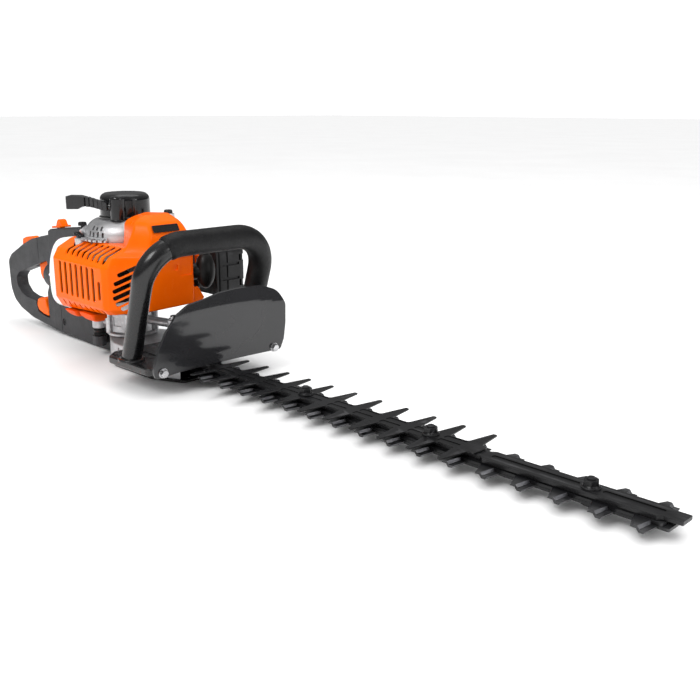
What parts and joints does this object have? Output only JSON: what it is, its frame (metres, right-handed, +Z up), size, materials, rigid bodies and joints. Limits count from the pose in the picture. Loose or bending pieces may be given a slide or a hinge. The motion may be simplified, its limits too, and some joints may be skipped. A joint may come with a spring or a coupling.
{
  "type": "petrol hedge trimmer",
  "caption": "Petrol hedge trimmer with double-sided reciprocating blades, a comb plate, a hand guard, a hoop front handle and a swivelling rear handle.",
  "frame": {"origin": "on the ground under the crank axis, on the underside of the gear case", "axes": "+X along the blades towards their tip, +Y to the operator's left, +Z up"},
  "size_m": [1.0418, 0.208, 0.205],
  "materials": {
    "orange_plastic": "satin moulded ABS",
    "charcoal_plastic": "fine textured nylon",
    "black_gloss_plastic": "glossy moulded",
    "black_paint": "gloss black enamel on pressed steel",
    "rubber_black": "matt",
    "cast_aluminium": "shot-blasted die casting",
    "bright_steel": "machined",
    "blackened_steel": "blackened tool steel with ground edges",
    "tank_plastic": "translucent white polyethylene",
    "foam_black": "closed-cell foam",
    "guard_plastic": "dark smoked polycarbonate",
    "filter_felt": "oiled felt"
  },
  "bodies": {
    "chassis": {"gear_case_bottom_cover": "black_paint", "gear_case": "cast_aluminium", "clutch_housing": "cast_aluminium", "guide_bar": "blackened_steel", "comb_plate": "blackened_steel", "blade_bolt_1": "blackened_steel", "blade_bolt_2": "blackened_steel", "blade_bolt_3": "blackened_steel", "base_plate": "black_paint", "blade_guard": "guard_plastic", "guard_bolt_right": "bright_steel", "guard_bolt_left": "bright_steel", "front_handle": "black_paint", "front_handle_grip": "foam_black", "crankcase": "cast_aluminium", "cylinder": "cast_aluminium", "muffler": "bright_steel", "muffler_guard": "orange_plastic", "engine_cover": "orange_plastic", "cover_badge": "black_gloss_plastic", "ignition_coil": "black_gloss_plastic", "ignition_lead": "rubber_black", "spark_plug": "bright_steel", "spark_plug_boot": "rubber_black", "starter_cover": "cast_aluminium", "starter_cover_screw_1": "blackened_steel", "starter_cover_screw_2": "blackened_steel", "recoil_spring": "bright_steel", "recoil_cover": "black_gloss_plastic", "fuel_tank": "tank_plastic", "carburettor": "cast_aluminium", "primer_bulb": "rubber_black", "air_filter_base": "charcoal_plastic", "filter_element": "filter_felt", "rear_frame": "charcoal_plastic", "rubber_mount_right": "rubber_black", "rubber_mount_left": "rubber_black", "throttle_cable": "rubber_black"},
    "upper_blade": {"upper_blade": "blackened_steel"},
    "lower_blade": {"lower_blade": "blackened_steel"},
    "drive_gear": {"drive_gear": "bright_steel"},
    "clutch_drum": {"clutch_drum": "bright_steel"},
    "crankshaft": {"crankshaft_lower_half": "bright_steel", "crankshaft_upper_half": "bright_steel", "flywheel": "cast_aluminium", "clutch_rotor": "bright_steel"},
    "piston": {"piston": "cast_aluminium", "connecting_rod": "bright_steel"},
    "starter_pulley": {"starter_pulley": "charcoal_plastic"},
    "starter_grip": {"starter_grip": "black_gloss_plastic", "starter_rope": "rubber_black"},
    "choke_lever": {"choke_lever": "orange_plastic"},
    "fuel_cap": {"fuel_cap": "black_gloss_plastic"},
    "air_filter_cover": {"air_filter_cover": "charcoal_plastic"},
    "stop_switch": {"stop_switch": "orange_plastic"},
    "rear_handle": {"rear_handle_right": "charcoal_plastic", "rear_handle_left": "charcoal_plastic"},
    "throttle_trigger": {"throttle_trigger": "orange_plastic"},
    "lockout_lever": {"lockout_lever": "orange_plastic"},
    "swivel_lock": {"swivel_lock": "orange_plastic"}
  },
  "joints": [
    {"name": "upper_blade_stroke", "type": "slide", "parent": "chassis", "child": "upper_blade", "axis": [1, 0, 0], "range_m": [-0.008, 0.008]},
    {"name": "lower_blade_stroke", "type": "slide", "parent": "chassis", "child": "lower_blade", "axis": [1, 0, 0], "range_m": [-0.008, 0.008]},
    {"name": "drive_gear_spin", "type": "hinge", "parent": "chassis", "child": "drive_gear", "pos_m": [0.045, 0, 0.015], "axis": [0, 0, 1], "continuous": true},
    {"name": "clutch_drum_spin", "type": "hinge", "parent": "chassis", "child": "clutch_drum", "pos_m": [0, 0, 0.04], "axis": [0, 0, 1], "continuous": true},
    {"name": "crankshaft_spin", "type": "hinge", "parent": "chassis", "child": "crankshaft", "pos_m": [0, 0, 0.105], "axis": [0, 0, 1], "continuous": true},
    {"name": "piston_stroke", "type": "slide", "parent": "chassis", "child": "piston", "axis": [1, 0, 0], "range_m": [-0.026, 0]},
    {"name": "starter_pull", "type": "slide", "parent": "chassis", "child": "starter_grip", "axis": [-0.7449, -0.6565, 0.1192], "range_m": [0, 0.6], "stiffness_N_per_m": 15},
    {"name": "starter_pulley_spin", "type": "hinge", "parent": "chassis", "child": "starter_pulley", "pos_m": [0, 0, 0.182], "axis": [0, 0, 1], "range_deg": [0, 1800]},
    {"name": "choke_turn", "type": "hinge", "parent": "chassis", "child": "choke_lever", "pos_m": [0.068, 0.054, 0.111], "axis": [1, 0, 0], "range_deg": [0, 60]},
    {"name": "fuel_cap_turn", "type": "hinge", "parent": "chassis", "child": "fuel_cap", "pos_m": [-0.0725, 0.033, 0.155], "axis": [0, 0, 1], "range_deg": [0, 90]},
    {"name": "air_filter_cover_pull", "type": "slide", "parent": "chassis", "child": "air_filter_cover", "axis": [0, 1, 0], "range_m": [0, 0.06]},
    {"name": "stop_switch_slide", "type": "slide", "parent": "chassis", "child": "stop_switch", "axis": [0.9933, 0, 0.1155], "range_m": [0, 0.005]},
    {"name": "rear_handle_swivel", "type": "hinge", "parent": "chassis", "child": "rear_handle", "pos_m": [-0.178, 0, 0.08], "axis": [1, 0, 0], "range_deg": [-90, 90]},
    {"name": "throttle_squeeze", "type": "hinge", "parent": "rear_handle", "child": "throttle_trigger", "pos_m": [-0.208, 0, 0.108], "axis": [0, 1, 0], "range_deg": [0, 14], "stiffness_Nm_per_rad": 0.3},
    {"name": "lockout_press", "type": "hinge", "parent": "rear_handle", "child": "lockout_lever", "pos_m": [-0.226, 0, 0.117], "axis": [0, -1, 0], "range_deg": [0, 7], "stiffness_Nm_per_rad": 0.4},
    {"name": "swivel_lock_pull", "type": "hinge", "parent": "rear_handle", "child": "swivel_lock", "pos_m": [-0.204, 0, 0.026], "axis": [0, 1, 0], "range_deg": [0, 8], "stiffness_Nm_per_rad": 0.4}
  ],
  "couplings": [
    {"joint": "lower_blade_stroke", "follows": "upper_blade_stroke", "ratio": -1},
    {"joint": "clutch_drum_spin", "follows": "drive_gear_spin", "ratio": -4.5},
    {"joint": "starter_pulley_spin", "follows": "starter_pull", "rad_per_m": 48.78}
  ]
}
